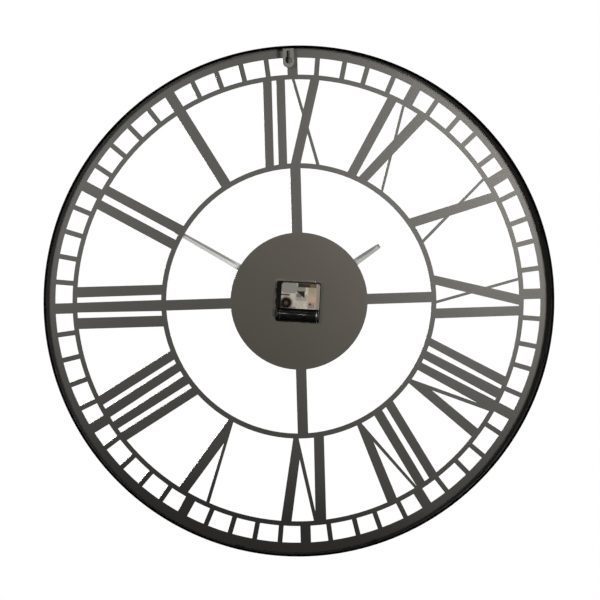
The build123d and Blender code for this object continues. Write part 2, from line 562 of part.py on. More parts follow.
hour_points = [(5.0, 11.0), (86.0, 9.0), (hour_len - 3.0, 6.6), (hour_len, 4.8)]
hour_tail = [(-5.0, 10.6), (-34.0, 12.6), (-37.0, 9.0)]
minute_points = [(5.0, 9.6), (86.0, 8.1), (minute_len - 3.0, 5.8), (minute_len, 4.0)]
minute_tail = [(-5.0, 9.4), (-46.0, 11.6), (-49.0, 8.2)]
hour_hand = hand(hour_points, hour_tail, hour_hand_y, 8.0, 3.3, 0.5)
minute_hand = hand(minute_points, minute_tail, minute_hand_y, 6.5, 1.27, 0.5)
save("hour_hand", Rot(0, hour_angle, 0) * hour_hand)
save("minute_hand", Rot(0, minute_angle, 0) * minute_hand)
# Brass collet riveted in the hour hand, a push fit on the hour pipe.
collet = merged(disc(3.3, -12.9, -11.8), disc(4.4, -12.1, -11.6), disc(4.0, -13.3, hour_hand_y[0])) - disc(2.55, -14, -11)
save("hour_hand_collet", collet)
# Closed cap nut that holds the minute hand.
cap_front = -half_depth
cap = merged(disc(3.2, -17.2, minute_hand_y[0]), prism(RegularPolygon(2.9, 6), -17.0, minute_hand_y[0] - 0.4))
dome = Pos(0, -17.2, 0) * (Sphere(3.2) & (Pos(0, -2.5, 0) * Box(8, 5, 8)))
dome = dome & box(-4, 4, cap_front, -17.2, -4, 4)
cap = (cap + dome) - disc(1.25, -17.25, -14)
save("minute_hand_nut", cap)
print("knob", knob_at, "minute", minute_at, "third", third_at, "inter", inter_at, "rotor", rotor_at)
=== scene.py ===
import math
import random

import bmesh
import bpy
from mathutils import Matrix, Vector, noise


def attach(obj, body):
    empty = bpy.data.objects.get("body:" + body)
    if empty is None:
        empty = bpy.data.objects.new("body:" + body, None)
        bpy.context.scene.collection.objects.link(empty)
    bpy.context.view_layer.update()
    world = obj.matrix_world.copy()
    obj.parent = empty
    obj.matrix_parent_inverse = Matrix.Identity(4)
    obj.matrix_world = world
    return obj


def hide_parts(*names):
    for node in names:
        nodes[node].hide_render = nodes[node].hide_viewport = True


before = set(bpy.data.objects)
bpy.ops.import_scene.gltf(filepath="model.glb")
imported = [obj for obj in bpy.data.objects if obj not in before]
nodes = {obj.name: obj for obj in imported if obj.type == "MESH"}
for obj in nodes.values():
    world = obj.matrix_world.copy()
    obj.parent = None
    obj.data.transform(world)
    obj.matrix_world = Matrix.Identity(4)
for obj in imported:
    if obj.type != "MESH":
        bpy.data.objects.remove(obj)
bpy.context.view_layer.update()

scene = bpy.context.scene
MM = 0.001

# The part's own sizes, in millimetres, where a new piece needs them.
OUTER_R, HOOP_IN_R = 317.5, 316.0
HOOP_FRONT_Y, HOOP_REAR_Y = -9.0, 18.5
BEAD_IN_R = 314.1
PLATE_REAR_Y = -6.5
DISC_R = 85.8
CASE_TURN = math.radians(-4.9)
TAB_X, TAB_FRONT_Y, TAB_W = 6.0, 16.4, 13.9
KNOB_AT = (17.22, -1.92)           # in the movement's own straight frame


# ---------------------------------------------------------------- material nodes
class Mat:
    """A procedural material: short names for the nodes it is made of."""

    def __init__(self, name, base=(0.5, 0.5, 0.5), metallic=0.0, roughness=0.5, **extra):
        self.m = bpy.data.materials.new(name)
        self.m.use_nodes = True
        self.t = self.m.node_tree
        self.t.nodes.clear()
        self.out = self.t.nodes.new("ShaderNodeOutputMaterial")
        self.b = self.t.nodes.new("ShaderNodeBsdfPrincipled")
        self.t.links.new(self.b.outputs[0], self.out.inputs[0])
        self.b.inputs["Base Color"].default_value = (*base, 1)
        self.b.inputs["Metallic"].default_value = metallic
        self.b.inputs["Roughness"].default_value = roughness
        for k, v in extra.items():
            self.b.inputs[k.replace("_", " ")].default_value = v
        self.coord = self.t.nodes.new("ShaderNodeTexCoord").outputs["Object"]
        self.x = 0

    def new(self, kind, **props):
        n = self.t.nodes.new(kind)
        self.x += 40
        n.location = (-200 - self.x, -self.x)
        for k, v in props.items():
            setattr(n, k, v)
        return n

    def put(self, node, socket, value):
        s = node.inputs[socket]
        if isinstance(value, bpy.types.NodeSocket):
            self.t.links.new(value, s)
        elif value is not None:
            s.default_value = value
        return node

    def map(self, rot=(0, 0, 0), scale=(1, 1, 1), loc=(0, 0, 0), vec=None):
        n = self.new("ShaderNodeMapping")
        self.put(n, "Vector", vec or self.coord)
        self.put(n, "Rotation", rot)
        self.put(n, "Scale", scale)
        self.put(n, "Location", loc)
        return n.outputs[0]

    def noise(self, scale, detail=2.0, rough=0.5, vec=None, distortion=0.0):
        n = self.new("ShaderNodeTexNoise")
        self.put(n, "Vector", vec or self.coord)
        self.put(n, "Scale", scale)
        self.put(n, "Detail", detail)
        self.put(n, "Roughness", rough)
        self.put(n, "Distortion", distortion)
        return n.outputs["Fac"]

    def voronoi(self, scale, feature="F1", vec=None, out="Distance"):
        n = self.new("ShaderNodeTexVoronoi", feature=feature)
        self.put(n, "Vector", vec or self.coord)
        self.put(n, "Scale", scale)
        return n.outputs[out]

    def math(self, op, a, b=None, c=None, clamp=False):
        n = self.new("ShaderNodeMath", operation=op, use_clamp=clamp)
        for i, v in enumerate((a, b, c)):
            if v is not None:
                self.put(n, i, v)
        return n.outputs[0]

    def xyz(self, vec=None):
        n = self.new("ShaderNodeSeparateXYZ")
        self.put(n, 0, vec or self.coord)
        return n.outputs[0], n.outputs[1], n.outputs[2]

    def join(self, x, y, z):
        n = self.new("ShaderNodeCombineXYZ")
        for i, v in enumerate((x, y, z)):
            self.put(n, i, v)
        return n.outputs[0]

    def band(self, value, lo, hi, out_lo=0.0, out_hi=1.0, smooth=True):
        n = self.new("ShaderNodeMapRange", interpolation_type="SMOOTHSTEP" if smooth else "LINEAR")
        self.put(n, "Value", value)
        self.put(n, "From Min", lo)
        self.put(n, "From Max", hi)
        self.put(n, "To Min", out_lo)
        self.put(n, "To Max", out_hi)
        return n.outputs[0]

    def mix(self, fac, a, b):
        n = self.new("ShaderNodeMix", data_type="RGBA")
        self.put(n, 0, fac)
        self.put(n, 6, (*a, 1) if isinstance(a, tuple) and len(a) == 3 else a)
        self.put(n, 7, (*b, 1) if isinstance(b, tuple) and len(b) == 3 else b)
        return n.outputs[2]

    def radius(self, vec=None):
        """Distance from the hand shaft's axis."""
        x, _, z = self.xyz(vec)
        return self.math("SQRT", self.math("ADD", self.math("MULTIPLY", x, x), self.math("MULTIPLY", z, z)))

    def color(self, s):
        self.put(self.b, "Base Color", s)

    def rough(self, s):
        self.put(self.b, "Roughness", s)

    def bump(self, height, distance, strength=1.0, normal=None):
        n = self.new("ShaderNodeBump")
        self.put(n, "Height", height)
        self.put(n, "Distance", distance)
        self.put(n, "Strength", strength)
        self.put(n, "Normal", normal)
        return n.outputs[0]

    def normal(self, s):
        self.put(self.b, "Normal", s)


def steel_powder(name, dark, light, rough_lo, rough_hi, peel=0.00003, disc=False, spec=0.5, metallic=0.0):
    """Powder coat on sheet steel: fine orange peel, a speckle of grains and slow drifts of tone; with disc, a warmer
    middle and painted shade along the foot.
    """
    g = Mat(name, base=light, metallic=metallic, roughness=(rough_lo + rough_hi) / 2)
    g.b.inputs["Specular IOR Level"].default_value = spec
    slow = g.noise(5.0, 3.0, 0.5)
    fine = g.noise(2400.0, 2.0, 0.6)
    tone = g.math("ADD", g.math("MULTIPLY", slow, 0.75), g.math("MULTIPLY", fine, 0.25))
    drift = g.band(tone, 0.30, 0.70)
    col = g.mix(drift, dark, light)
    if disc:
        # the middle of the sheet took the coat a shade darker and warmer
        warm = g.mix(drift, tuple(c * k for c, k in zip(dark, (1.00, 0.94, 0.84))),
                     tuple(c * k for c, k in zip(light, (1.00, 0.94, 0.84))))
        col = g.mix(g.band(g.radius(), 0.082, 0.0862, 1.0, 0.0), col, warm)
        # painted shade: the coat is made darker and blacker along the foot of the sheet, where less light falls
        x, _, z = g.xyz()
        painted_shade_ramp = g.math("SUBTRACT", g.math("MULTIPLY", x, 0.26), g.math("MULTIPLY", z, 0.966))
        shaded_coat = g.mix(drift, tuple(c * 0.55 for c in dark), tuple(c * 0.55 for c in light))
        col = g.mix(g.band(painted_shade_ramp, 0.195, 0.280, 0.0, 1.0), col, shaded_coat)
    grains = g.voronoi(2100.0)
    col = g.mix(g.band(grains, 0.0, 0.16, 0.22, 0.0), col, tuple(min(1, c * 1.5) for c in light))
    g.color(col)
    g.rough(g.band(g.math("ADD", g.math("MULTIPLY", g.noise(700.0, 2.0, 0.6), 0.6), g.math("MULTIPLY", g.noise(18.0, 2.0, 0.5), 0.4)), 0.3, 0.7, rough_lo, rough_hi))
    a = g.bump(g.noise(1500.0, 2.0, 0.45), peel, 1.0)
    g.normal(g.bump(fine, peel * 0.3, 0.7, a))
    return g.m


def plastic(name, dark, light, rough_lo, rough_hi, grain=1400.0, depth=0.000008, coat=0.0, sub=0.0, spec=0.5):
    """Moulded plastic: the tool's fine spark texture, and slow changes of gloss."""
    g = Mat(name, base=light, roughness=rough_lo)
    g.b.inputs["Specular IOR Level"].default_value = spec
    if coat:
        g.b.inputs["Coat Weight"].default_value = coat
        g.b.inputs["Coat Roughness"].default_value = 0.08
    if sub:
        g.b.inputs["Subsurface Weight"].default_value = sub
        g.b.inputs["Subsurface Radius"].default_value = (0.0012, 0.0010, 0.0007)
    g.color(g.mix(g.band(g.noise(130.0, 3.0), 0.3, 0.7), dark, light))
    g.rough(g.band(g.noise(420.0, 3.0, 0.6), 0.3, 0.7, rough_lo, rough_hi))
    g.normal(g.bump(g.noise(grain, 2.0, 0.55), depth, 0.8))
    return g.m


def turned(name, dark, light, rough_lo, rough_hi, turn=(0, 0, 0)):
    """Turned metal: fine rings round the arbor, a little tarnish between them."""
    g = Mat(name, base=light, metallic=1.0, roughness=rough_lo)
    r = g.radius()
    _, y, _ = g.xyz()
    rings = g.noise(1.0, 2.0, 0.6, g.join(g.math("MULTIPLY", r, 7000.0), g.math("MULTIPLY", y, 5200.0), 0.0))
    g.color(g.mix(g.band(g.noise(260.0, 3.0, 0.6), 0.35, 0.7), dark, light))
    g.rough(g.band(rings, 0.3, 0.7, rough_lo, rough_hi))
    g.normal(g.bump(rings, 0.000004, 0.6))
    return g.m


def brushed(name, dark, light, rough_lo, rough_hi, angle=0.0, metallic=1.0, depth=0.000005, aniso=0.4):
    """Brushed sheet: scratches along one line in the XZ plane, angle degrees clockwise from +Z seen from the front."""
    g = Mat(name, base=light, metallic=metallic, roughness=rough_lo)
    g.b.inputs["Anisotropic"].default_value = aniso
    v = g.map(rot=(0, math.radians(-angle), 0))
    x, y, z = g.xyz(v)
    lines = g.noise(1.0, 3.0, 0.65, g.join(g.math("MULTIPLY", x, 5200.0), g.math("MULTIPLY", y, 2600.0), g.math("MULTIPLY", z, 38.0)))
    wide = g.noise(1.0, 2.0, 0.5, g.join(g.math("MULTIPLY", x, 700.0), g.math("MULTIPLY", y, 300.0), g.math("MULTIPLY", z, 9.0)))
    g.color(g.mix(g.band(g.math("ADD", g.math("MULTIPLY", lines, 0.6), g.math("MULTIPLY", wide, 0.4)), 0.35, 0.65), dark, light))
    g.rough(g.band(lines, 0.3, 0.7, rough_lo, rough_hi))
    g.normal(g.bump(lines, depth, 0.8))
    return g.m


M = {}
M["dial_steel"] = steel_powder("powder_coat_grey_black", (0.0395, 0.0378, 0.0350), (0.0440, 0.0423, 0.0395), 0.318, 0.328, peel=0.0000012, disc=True, metallic=0.8)
# a lighter copy of the plate's powder coat for the tab and its weld: the lighter tone is painted light
M["tab_steel"] = steel_powder("powder_coat_tab_painted_light", (0.075, 0.071, 0.063), (0.098, 0.093, 0.083), 0.33, 0.40, peel=0.000004, metallic=0.6)
# the two hands share one brushed finish; the hour hand's copy is made darker as painted shade
M["hour_metal"] = brushed("brushed_hour_hand_painted_shade", (0.175, 0.175, 0.174), (0.205, 0.205, 0.203), 0.44, 0.48, angle=-57.3, depth=0.0000008)
M["minute_metal"] = brushed("brushed_minute_hand", (0.265, 0.265, 0.262), (0.300, 0.300, 0.297), 0.44, 0.48, angle=58.7, depth=0.0000008)
M["black_plastic"] = plastic("gloss_black_moulding", (0.0045, 0.0043, 0.0040), (0.0085, 0.0080, 0.0075), 0.09, 0.13, depth=0.0000015, spec=0.22)
M["white_plastic"] = plastic("natural_acetal", (0.70, 0.68, 0.61), (0.82, 0.80, 0.74), 0.34, 0.46, sub=0.15)
M["brass"] = turned("turned_brass", (0.55, 0.36, 0.14), (0.83, 0.62, 0.28), 0.22, 0.42)
M["rubber"] = plastic("moulded_rubber", (0.012, 0.012, 0.012), (0.024, 0.024, 0.023), 0.68, 0.85, grain=900.0, depth=0.00003)
M["bright_steel"] = brushed("bright_plated_steel", (0.50, 0.50, 0.49), (0.72, 0.72, 0.71), 0.16, 0.30, angle=90.0, aniso=0.2)
# a darkened copy of the contact metal: painted shade for the dark ends of the battery bay
M["dull_contact"] = brushed("contact_strip_painted_shade", (0.10, 0.098, 0.090), (0.17, 0.165, 0.155), 0.40, 0.55, angle=0.0, aniso=0.2)
M["can_steel"] = brushed("nickelled_can_steel", (0.26, 0.26, 0.25), (0.38, 0.38, 0.36), 0.36, 0.48, angle=0.0, metallic=0.9, depth=0.0000012, aniso=0.0)
M["stator_iron"] = brushed("soft_iron", (0.22, 0.22, 0.22), (0.36, 0.36, 0.35), 0.36, 0.55, angle=0.0, aniso=0.2)


def copper_wire():
    g = Mat("enamelled_copper", base=(0.62, 0.24, 0.09), metallic=1.0, roughness=0.28)
    g.b.inputs["Coat Weight"].default_value = 0.6
    g.b.inputs["Coat Roughness"].default_value = 0.12
    g.color(g.mix(g.band(g.noise(900.0, 2.0), 0.3, 0.7), (0.45, 0.15, 0.05), (0.72, 0.30, 0.12)))
    g.rough(g.band(g.noise(2600.0, 2.0), 0.3, 0.7, 0.20, 0.36))
    g.normal(g.bump(g.noise(2200.0, 1.0), 0.000005, 0.6))
    return g.m


def board():
    g = Mat("solder_mask_board", base=(0.02, 0.12, 0.05), roughness=0.32)
    v = g.map(rot=(0, -CASE_TURN, 0))
    x, y, z = g.xyz(v)
    tr = g.new("ShaderNodeTexBrick", offset=0.5)
    g.put(tr, "Vector", g.join(x, z, 0.0))
    g.put(tr, "Scale", 420.0)
    g.put(tr, "Mortar Size", 0.09)
    g.put(tr, "Mortar Smooth", 0.15)
    lines = tr.outputs["Fac"]
    mask = g.mix(g.band(g.noise(300.0, 2.0), 0.35, 0.65), (0.012, 0.085, 0.030), (0.020, 0.120, 0.045))
    g.color(g.mix(lines, mask, (0.045, 0.200, 0.075)))
    g.rough(g.band(g.noise(800.0, 2.0), 0.3, 0.7, 0.26, 0.40))
    g.normal(g.bump(lines, 0.00002, 0.8))
    return g.m


def epoxy():
    g = Mat("glob_epoxy", base=(0.008, 0.008, 0.009), roughness=0.12)
    g.color(g.mix(g.band(g.noise(700.0, 2.0), 0.3, 0.7), (0.005, 0.005, 0.006), (0.012, 0.012, 0.012)))
    g.rough(g.band(g.noise(500.0, 2.0), 0.3, 0.7, 0.08, 0.20))
    g.normal(g.bump(g.noise(380.0, 2.0), 0.00003, 0.6))
    return g.m


def magnet():
    g = Mat("sintered_magnet", base=(0.07, 0.07, 0.075), metallic=0.6, roughness=0.55)
    g.color(g.mix(g.band(g.voronoi(3200.0), 0.0, 0.6), (0.045, 0.045, 0.05), (0.11, 0.11, 0.115)))
    g.rough(g.band(g.noise(1500.0, 2.0), 0.3, 0.7, 0.46, 0.66))
    g.normal(g.bump(g.noise(2400.0, 2.0), 0.00001, 0.8))
    return g.m


def battery_wrap():
    """Shrunk wrap of a plain dry cell: satin black, a slightly paler overlap line and ring that also serve as painted
    highlights, and a fine heat-shrink ripple.
    """
    g = Mat("cell_wrap", base=(0.008, 0.008, 0.008), roughness=0.22)
    g.b.inputs["Specular IOR Level"].default_value = 0.16
    v = g.map(rot=(0, -CASE_TURN, 0))
    x, y, z = g.xyz(v)
    base = g.mix(g.band(g.noise(220.0, 2.0), 0.3, 0.7), (0.0045, 0.0048, 0.0045), (0.0090, 0.0095, 0.0090))
    # paler overlap line and paler ring near the end: wrap marks placed where they also stand in as painted highlight
    # lines on the cell
    wrap_line_and_highlight = g.math("MULTIPLY", g.band(z, -0.0126, -0.0125, 0.0, 1.0), g.band(z, -0.0123, -0.0122, 1.0, 0.0))
    ring = g.math("MULTIPLY", g.band(x, 0.0236, 0.0238, 0.0, 1.0), g.band(x, 0.0244, 0.0246, 1.0, 0.0))
    g.color(g.mix(g.math("MAXIMUM", g.math("MULTIPLY", wrap_line_and_highlight, 0.5), ring), base, (0.045, 0.044, 0.040)))
    g.rough(g.band(g.noise(600.0, 3.0, 0.6), 0.3, 0.7, 0.19, 0.26))
    ripple = g.noise(1.0, 2.0, 0.5, g.join(g.math("MULTIPLY", x, 900.0), g.math("MULTIPLY", y, 160.0), g.math("MULTIPLY", z, 160.0)))
    g.normal(g.bump(ripple, 0.000006, 0.5))
    return g.m


def knob_plastic():
    """Moulded knob: near-black brown rim, paler brown in the recess round the stem."""
    g = Mat("knob_moulding", base=(0.012, 0.007, 0.006), roughness=0.20)
    g.b.inputs["Specular IOR Level"].default_value = 0.07
    c, t = math.cos(CASE_TURN), math.sin(CASE_TURN)
    kx, kz = (KNOB_AT[0] * c + KNOB_AT[1] * t) * MM, (-KNOB_AT[0] * t + KNOB_AT[1] * c) * MM
    x, y, z = g.xyz()
    dx, dz = g.math("SUBTRACT", x, kx), g.math("SUBTRACT", z, kz)
    r = g.math("SQRT", g.math("ADD", g.math("MULTIPLY", dx, dx), g.math("MULTIPLY", dz, dz)))
    worn = g.noise(900.0, 3.0, 0.6)
    rim = g.mix(g.band(worn, 0.3, 0.7), (0.0045, 0.0030, 0.0027), (0.0090, 0.0058, 0.0050))
    cup = g.mix(g.band(worn, 0.3, 0.7), (0.043, 0.025, 0.020), (0.068, 0.040, 0.033))
    g.color(g.mix(g.band(r, 0.0020, 0.0033, 0.0, 1.0), cup, rim))
    g.rough(g.band(g.noise(1300.0, 2.0), 0.3, 0.7, 0.16, 0.30))
    g.normal(g.bump(g.noise(1800.0, 2.0), 0.000004, 0.6))
    return g.m


def label_foil():
    """Printed sticker in the movement's own straight frame: cream, with plain blocks of colour and no lettering."""
    g = Mat("foil_label", base=(0.50, 0.48, 0.43), roughness=0.38)
    g.b.inputs["Specular IOR Level"].default_value = 0.03
    v = g.map(rot=(0, -CASE_TURN, 0), scale=(1000, 1000, 1000))
    x, y, z = g.xyz(v)
    mottled = g.noise(0.42, 3.0, 0.6, v)
    cream = g.mix(g.band(mottled, 0.35, 0.65), (0.43, 0.397, 0.335), (0.57, 0.530, 0.462))
    # the print is a little worn and greyer towards the middle
    cream = g.mix(g.math("MULTIPLY", g.band(x, -9.0, 2.0, 0.0, 1.0), 0.22), cream, (0.33, 0.315, 0.28))

    def box_mask(x0, x1, z0, z1, soft=0.3):
        a = g.math("MULTIPLY", g.band(x, x0 - soft, x0 + soft), g.band(x, x1 - soft, x1 + soft, 1.0, 0.0))
        b = g.math("MULTIPLY", g.band(z, z0 - soft, z0 + soft), g.band(z, z1 - soft, z1 + soft, 1.0, 0.0))
        return g.math("MULTIPLY", a, b)

    def rounded(cx, cz, hx, hz, r, soft=0.25):
        """A rounded block: 1 inside, 0 outside."""
        qx = g.math("MAXIMUM", g.math("SUBTRACT", g.math("ABSOLUTE", g.math("SUBTRACT", x, cx)), hx - r), 0.0)
        qz = g.math("MAXIMUM", g.math("SUBTRACT", g.math("ABSOLUTE", g.math("SUBTRACT", z, cz)), hz - r), 0.0)
        d = g.math("SQRT", g.math("ADD", g.math("MULTIPLY", qx, qx), g.math("MULTIPLY", qz, qz)))
        return g.band(d, r - soft, r + soft, 1.0, 0.0)

    def near_point(cx, cz, r, soft):
        dx, dz = g.math("SUBTRACT", x, cx), g.math("SUBTRACT", z, cz)
        d = g.math("SQRT", g.math("ADD", g.math("MULTIPLY", dx, dx), g.math("MULTIPLY", dz, dz)))
        return g.band(d, r - soft, r + soft, 1.0, 0.0)

    col = cream
    # a greyer, rubbed panel under and left of the triangle, and a grey field above it
    rubbed = g.math("MULTIPLY", rounded(-1.6, 5.0, 7.0, 3.8, 1.5, 1.4), g.band(mottled, 0.3, 0.6, 0.45, 0.85))
    col = g.mix(rubbed, col, (0.24, 0.225, 0.19))
    col = g.mix(g.math("MULTIPLY", rounded(1.6, 8.3, 3.4, 2.6, 1.2, 0.9), 0.75), col, (0.105, 0.092, 0.070))
    col = g.mix(g.math("MULTIPLY", box_mask(-6.2, 4.6, 12.4, 18.8, 0.5), 0.9), col, (0.20, 0.190, 0.158))
    # painted shade and grime in a ring round the knob's hole; the print runs darker at the corner below it
    col = g.mix(g.math("MULTIPLY", near_point(17.22, -1.92, 8.2, 1.5), 0.72), col, (0.045, 0.030, 0.022))
    col = g.mix(g.math("MULTIPLY", box_mask(18.4, 25.0, -9.0, -3.4, 0.7), 0.92), col, (0.014, 0.009, 0.007))
    col = g.mix(g.math("MULTIPLY", box_mask(5.0, 25.0, -9.0, -6.2, 0.9), 0.60), col, (0.070, 0.060, 0.050))
    col = g.mix(g.math("MULTIPLY", box_mask(13.0, 25.0, 6.9, 9.3, 0.5), 0.90), col, (0.050, 0.036, 0.028))
    # olive to pink column on the right as seen from behind
    grade = g.band(z, 14.5, 5.5, 0.0, 1.0)
    column = g.mix(grade, (0.29, 0.245, 0.145), (0.455, 0.300, 0.225))
    column = g.mix(g.band(z, 1.5, -3.5, 0.0, 1.0), column, (0.235, 0.165, 0.135))
    col = g.mix(g.math("MULTIPLY", box_mask(-18.6, -9.6, -8.0, 19.0, 0.8), 0.85), col, column)
    col = g.mix(g.math("MULTIPLY", box_mask(-25.5, -19.0, -9.0, 25.0, 0.5), 0.90), col, (0.245, 0.200, 0.170))
    col = g.mix(g.math("MULTIPLY", box_mask(-20.6, -19.8, -9.0, 25.0, 0.3), 0.6), col, (0.40, 0.345, 0.30))
    # small dark red spot low on the column
    col = g.mix(g.math("MULTIPLY", near_point(-12.6, -2.5, 1.45, 0.5), 0.92), col, (0.050, 0.012, 0.010))
    # dark strip along the top edge, olive and then brown towards its end
    streak = g.noise(0.55, 2.0, 0.5, g.join(x, g.math("MULTIPLY", z, 1.6), 0.0))
    strip_col = g.mix(g.band(streak, 0.42, 0.62), (0.006, 0.006, 0.004), (0.030, 0.028, 0.013))
    strip_col = g.mix(g.band(x, -10.0, -13.5, 0.0, 1.0), strip_col, (0.13, 0.108, 0.045))
    strip_col = g.mix(g.band(x, -14.5, -17.0, 0.0, 1.0), strip_col, (0.115, 0.070, 0.060))
    col = g.mix(g.math("MULTIPLY", box_mask(-19.4, 3.6, 18.2, 23.2, 0.5), 0.97), col, strip_col)
    col = g.mix(g.math("MULTIPLY", box_mask(-19.8, -4.0, 22.0, 25.0, 0.5), 0.85), col, (0.10, 0.062, 0.055))
    # dark triangle with its right angle at the upper right
    tri = g.math("MULTIPLY", g.band(x, -5.6, -5.1, 0.0, 1.0), g.band(z, 12.9, 13.5, 1.0, 0.0))
    slope = g.math("SUBTRACT", g.math("MULTIPLY", x, 0.76), z)
    tri = g.math("MULTIPLY", tri, g.band(slope, -9.3, -8.6, 1.0, 0.0))
    col = g.mix(g.math("MULTIPLY", tri, 0.97), col, (0.010, 0.009, 0.006))
    # grey rounded panel in the upper left
    col = g.mix(rounded(14.4, 17.1, 9.9, 6.9, 3.9, 0.3), col, (0.238, 0.232, 0.207))
    # worn dark edge along the border side
    col = g.mix(rounded(-0.4, -6.0, 24.1, 29.1, 3.4, 0.25), (0.020, 0.016, 0.012), col)
    g.color(col)
    g.rough(g.band(g.noise(1.4, 3.0, 0.6, v), 0.3, 0.7, 0.34, 0.46))
    g.normal(g.bump(g.noise(0.35, 3.0, 0.5, v), 0.00002, 0.5))
    return g.m


def hoop_coat():
    """Gloss black coat on rolled strip: no grain, only the long shallow waves left by the rolls and changes of gloss."""
    g = Mat("gloss_black_hoop", base=(0.0040, 0.0038, 0.0036), roughness=0.26)
    g.b.inputs["Specular IOR Level"].default_value = 0.06
    g.color(g.mix(g.band(g.noise(22.0, 3.0, 0.55), 0.3, 0.7), (0.0028, 0.0027, 0.0026), (0.0050, 0.0048, 0.0046)))
    g.rough(g.band(g.noise(60.0, 3.0, 0.5), 0.3, 0.7, 0.22, 0.30))
    g.normal(g.bump(g.noise(34.0, 1.0, 0.4), 0.00004, 0.6))
    return g.m


M["rim_steel"] = hoop_coat()
M["stem_brown"] = plastic("brown_stem_plastic", (0.050, 0.031, 0.026), (0.080, 0.050, 0.042), 0.30, 0.42, spec=0.06)
M["knob_brown"] = knob_plastic()
M["copper"] = copper_wire()
M["board"] = board()
M["epoxy"] = epoxy()
M["magnet"] = magnet()
M["battery_wrap"] = battery_wrap()
M["label_foil"] = label_foil()

special = {"minute_hand": "minute_metal", "hour_hand": "hour_metal", "hanger_tab": "tab_steel", "setting_stem": "stem_brown", "setting_knob": "knob_brown",
           "negative_contact": "dull_contact", "positive_contact": "dull_contact",
           "battery_cell": "can_steel"}
for name, ob in nodes.items():
    slot = ob.material_slots[0].material.name.split(".")[0]
    for s in ob.material_slots:
        s.material = M[special.get(name, slot if slot in M else "black_plastic")]


# ---------------------------------------------------------------- soft edges on the CAD pieces
def soften(name, width, segments=2, angle=32.0, clamp=True):
    ob = nodes[name]
    w = ob.modifiers.new("join_faces", "WELD")
    w.merge_threshold = 1e-6
    b = ob.modifiers.new("soft_edges", "BEVEL")
    b.width = width * MM
    b.segments = segments
    b.limit_method = "ANGLE"
    b.angle_limit = math.radians(angle)
    b.use_clamp_overlap = clamp
    b.harden_normals = True
    b.miter_outer = "MITER_ARC"


EDGES = {
    "dial_plate": (0.22, 2), "hanger_tab": (0.25, 3), "movement_case": (0.30, 2), "movement_front_cover": (0.25, 2),
    "movement_label": (0.04, 1), "hex_nut": (0.18, 2), "brass_washer": (0.12, 2), "rubber_washer": (0.2, 2),
    "minute_hand": (0.15, 2), "hour_hand": (0.15, 2), "setting_knob": (0.12, 2), "minute_hand_nut": (0.10, 2),
    "hour_hand_collet": (0.12, 2), "battery_cell": (0.15, 2), "battery_sleeve": (0.12, 2), "gear_plate": (0.12, 2),
    "circuit_board": (0.06, 1), "coil_bobbin": (0.15, 2), "stator": (0.05, 1), "coil_core": (0.05, 1),
    "positive_contact": (0.06, 1), "negative_contact": (0.06, 1), "quartz_crystal": (0.12, 2), "setting_stem": (0.08, 1),
}
for name, (width, seg) in EDGES.items():
    soften(name, width, seg, clamp=name not in ("dial_plate",))


# ---------------------------------------------------------------- new pieces
def mesh_object(name, bm, material, smooth=True, sharp=None):
    me = bpy.data.meshes.new(name)
    bm.normal_update()
    bm.to_mesh(me)
    bm.free()
    ob = bpy.data.objects.new(name, me)
    scene.collection.objects.link(ob)
    me.materials.append(material)
    for p in me.polygons:
        p.use_smooth = smooth
    if sharp is not None:
        me.set_sharp_from_angle(angle=math.radians(sharp))
    return ob


def arc_pts(cx, cy, r, a0, a1, n):
    return [(cx + r * math.cos(math.radians(a0 + (a1 - a0) * i / n)),
             cy + r * math.sin(math.radians(a0 + (a1 - a0) * i / n))) for i in range(n + 1)]


def hoop():
    """Rolled strip hoop, lathed round Y: (radius, y) profile with eased front edges and the curled rear bead."""
    p = []
    f = 0.42
    p += arc_pts(OUTER_R - f, HOOP_FRONT_Y + f, f, -90, 0, 4)                 # front outer edge
    p += [(OUTER_R, y) for y in (-6.0, -2.0, 3.0, 8.0, 13.0)]
    half = (OUTER_R - BEAD_IN_R) / 2                                          # bead, a crowned roll
    for i in range(31):
        a = math.radians(-8 + 268 * i / 30)
        ca, sa = math.cos(a), math.sin(a)
        p.append((OUTER_R - half + half * math.copysign(abs(ca) ** (2 / 2.6), ca),
                  HOOP_REAR_Y - half + half * math.copysign(abs(sa) ** (2 / 2.6), sa)))
    p += [(HOOP_IN_R - 0.16, 15.30), (HOOP_IN_R + 0.10, 15.36), (HOOP_IN_R + 0.02, 14.9)]
    p += [(HOOP_IN_R, y) for y in (12.0, 8.0, 3.0, -2.0, -6.0)]
    p += arc_pts(HOOP_IN_R + f, HOOP_FRONT_Y + f, f, 180, 270, 4)             # front inner edge
    n = 540
    bm = bmesh.new()
    rows = []
    for i in range(n):
        a = 2 * math.pi * i / n
        row = []
        for r, y in p:
            # slight unevenness of the rolled strip, always inside the true size
            w = 0.05 * (noise.noise(Vector((math.cos(a) * 2.1, math.sin(a) * 2.1, y * 0.02))) - 1.0)
            rr = (r + w * (0.5 if r > HOOP_IN_R - 0.5 else 0.2)) * MM
            row.append(bm.verts.new((rr * math.sin(a), y * MM, rr * math.cos(a))))
        rows.append(row)
    k = len(p)
    for i in range(n):
        a, b = rows[i], rows[(i + 1) % n]
        for j in range(k):
            bm.faces.new((a[j], a[(j + 1) % k], b[(j + 1) % k], b[j]))
    bmesh.ops.recalc_face_normals(bm, faces=bm.faces)
    return mesh_object("hoop", bm, M["rim_steel"], sharp=50)


